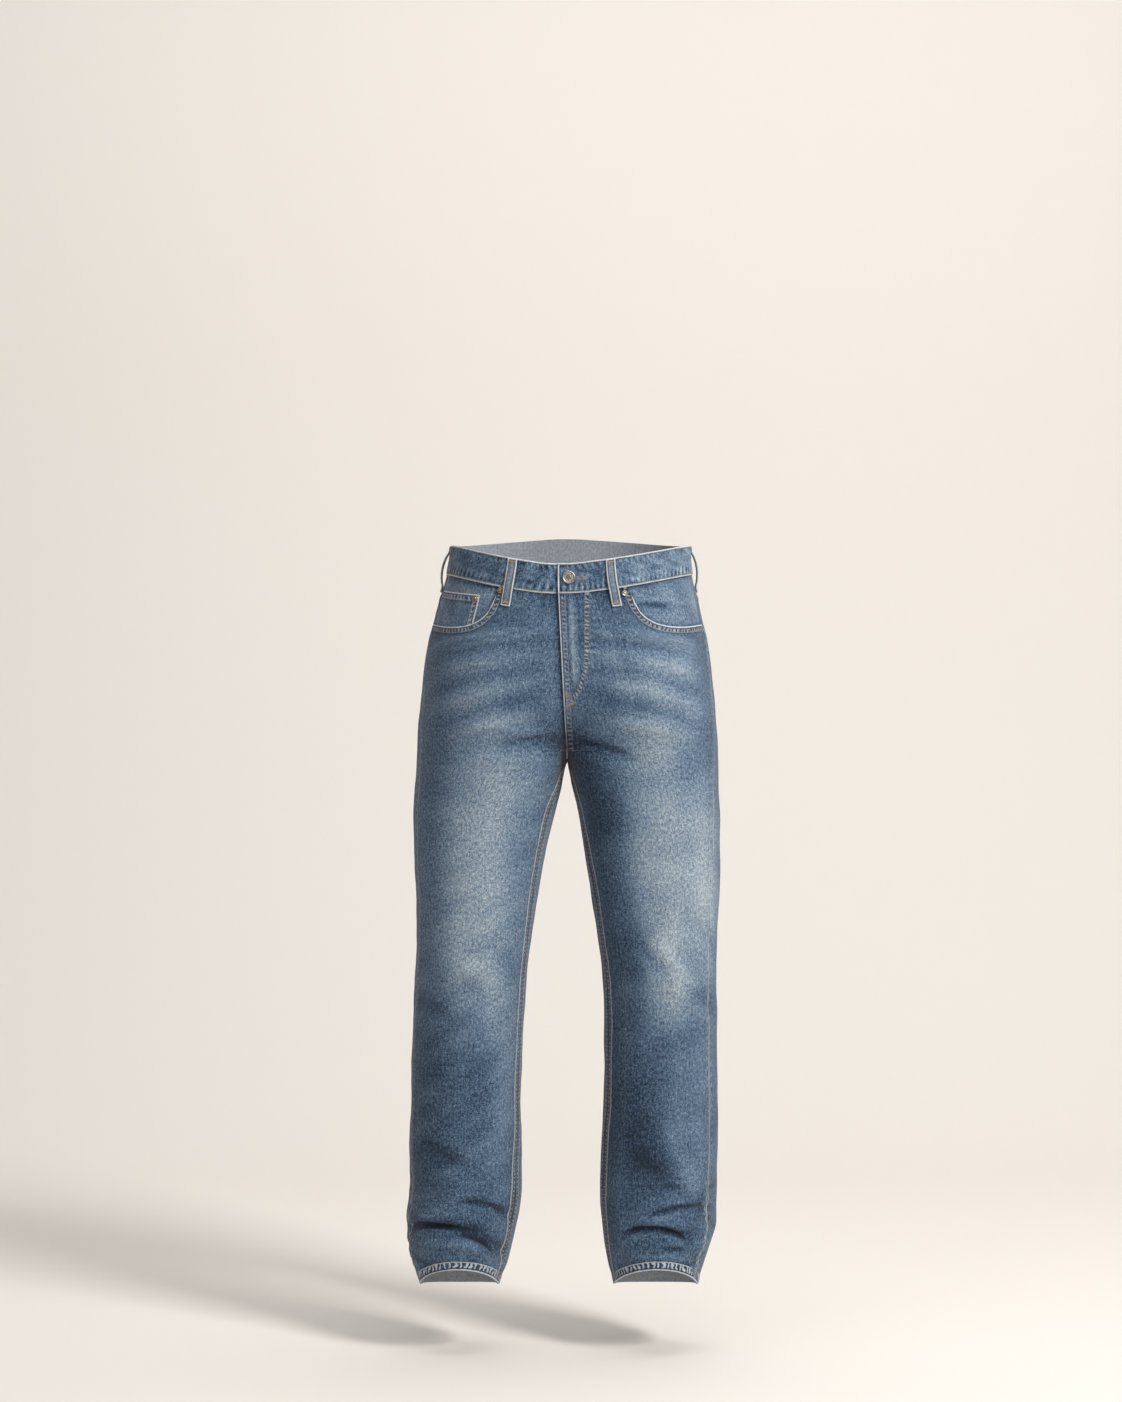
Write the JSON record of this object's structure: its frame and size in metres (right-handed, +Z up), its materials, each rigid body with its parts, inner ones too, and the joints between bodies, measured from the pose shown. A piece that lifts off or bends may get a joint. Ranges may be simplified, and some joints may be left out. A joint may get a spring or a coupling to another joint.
{
  "type": "straight leg jeans",
  "caption": "Straight leg five-pocket jeans in washed blue denim, held in their worn, hollow shape, with belt loops, a shank button, rivets and stitched hems.",
  "frame": {"origin": "centre of the waist opening, level with the waistband's top edge at the sides", "axes": "+Z up, against the way the legs hang; the front faces -Y; +X towards the wearer's left"},
  "size_m": [0.4483, 0.2624, 1.0811],
  "materials": {
    "denim": "washed denim twill",
    "worn_denim": "washed denim twill with worn edges",
    "aged_steel": "aged",
    "aged_copper": "aged"
  },
  "bodies": {
    "root": {"front_right": "denim", "front_left": "denim", "back_right": "denim", "back_left": "denim", "yoke_right": "denim", "yoke_left": "denim", "waistband": "denim", "pocket_facing_right": "denim", "pocket_facing_left": "denim", "coin_pocket": "denim", "back_pocket_right": "denim", "back_pocket_left": "denim", "belt_loop_front_right": "worn_denim", "belt_loop_front_left": "worn_denim", "belt_loop_side_right": "worn_denim", "belt_loop_side_left": "worn_denim", "belt_loop_back": "worn_denim", "button": "aged_steel", "rivet_left": "aged_steel", "rivet_right": "aged_copper", "rivet_coin_pocket": "aged_copper"}
  },
  "joints": []
}
